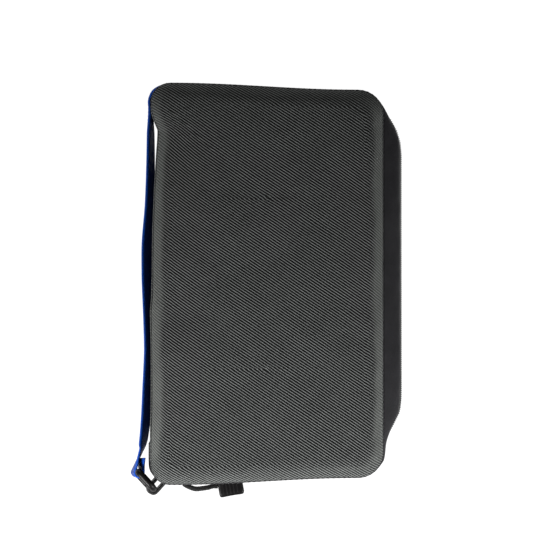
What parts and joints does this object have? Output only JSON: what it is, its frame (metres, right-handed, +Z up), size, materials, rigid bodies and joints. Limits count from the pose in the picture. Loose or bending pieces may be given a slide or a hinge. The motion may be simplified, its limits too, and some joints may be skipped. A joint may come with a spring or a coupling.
{
  "type": "cd storage case",
  "caption": "Zipped padded disc wallet lying on its front, with sleeve leaves, front pocket, side strap, strap ring and corded zip pulls.",
  "frame": {"origin": "centre of the case's bounding box, at the table it lies on, cords and pull tabs left out", "axes": "+Y along the spine towards the pocket slider's end, +X from the spine to the fore edge, +Z up through the covers"},
  "size_m": [0.1964, 0.3046, 0.048],
  "materials": {
    "grey_twill": "charcoal ribbed twill, matt",
    "black_cloth": "fine black woven nylon",
    "blue_cloth": "royal blue woven nylon",
    "blue_webbing": "royal blue ribbed webbing",
    "black_webbing": "black webbing",
    "lining": "black lining cloth",
    "foam": "closed-cell foam padding",
    "board": "stiffener board",
    "zip_tape": "black zip tape",
    "zip_coil": "black nylon coil",
    "slider_metal": "black painted metal",
    "black_plastic": "black moulded plastic",
    "cord": "black braided cord",
    "film": "clear sleeve film"
  },
  "bodies": {
    "front_half": {"front_panel": "grey_twill", "front_pad": "foam", "front_board": "board", "front_lining": "lining", "front_gusset": "black_cloth", "front_zip_tape": "zip_tape", "front_zip_coil": "zip_coil", "pocket_panel": "blue_cloth", "badge": "black_plastic", "pocket_wall": "black_cloth", "pocket_base": "black_cloth", "pocket_tape_grey": "zip_tape", "pocket_tape_blue": "zip_tape", "pocket_coil_grey": "zip_coil", "pocket_coil_blue": "zip_coil", "page_block": "film", "binding_strip": "lining"},
    "spine": {"spine_panel": "grey_twill", "spine_lining": "lining", "carry_strap": "blue_webbing", "strap_ring": "black_plastic", "ring_tab": "black_webbing"},
    "back_half": {"back_panel": "grey_twill", "back_pad": "foam", "back_board": "board", "back_lining": "lining", "back_gusset": "black_cloth", "back_zip_tape": "zip_tape", "back_zip_coil": "zip_coil"},
    "main_slider": {"main_slider": "slider_metal"},
    "main_pull": {"main_pull_link": "slider_metal", "main_pull_cord": "cord", "main_pull_tab": "black_plastic"},
    "pocket_slider": {"pocket_slider": "slider_metal"},
    "pocket_pull": {"pocket_pull_link": "slider_metal", "pocket_pull_cord": "cord", "pocket_pull_tab": "black_plastic"}
  },
  "joints": [
    {"name": "spine_fold", "type": "hinge", "parent": "front_half", "child": "spine", "pos_m": [-0.0835, 0.00453, 0.009], "axis": [0, -1, 0], "range_deg": [0, 90]},
    {"name": "cover_fold", "type": "hinge", "parent": "spine", "child": "back_half", "pos_m": [-0.0835, 0.00453, 0.039], "axis": [0, -1, 0], "range_deg": [0, 90]},
    {"name": "main_slider_run", "type": "slide", "parent": "front_half", "child": "main_slider", "axis": [1, 0, 0], "range_m": [0, 0.11]},
    {"name": "main_pull_swing", "type": "hinge", "parent": "main_slider", "child": "main_pull", "pos_m": [-0.067, -0.13677, 0.024], "axis": [0, 0, -1], "range_deg": [0, 90]},
    {"name": "pocket_slider_run", "type": "slide", "parent": "front_half", "child": "pocket_slider", "axis": [0, -1, 0], "range_m": [0, 0.23]},
    {"name": "pocket_pull_swing", "type": "hinge", "parent": "pocket_slider", "child": "pocket_pull", "pos_m": [0, 0.12153, 0.0022], "axis": [1, 0, 0], "range_deg": [0, 150]}
  ]
}
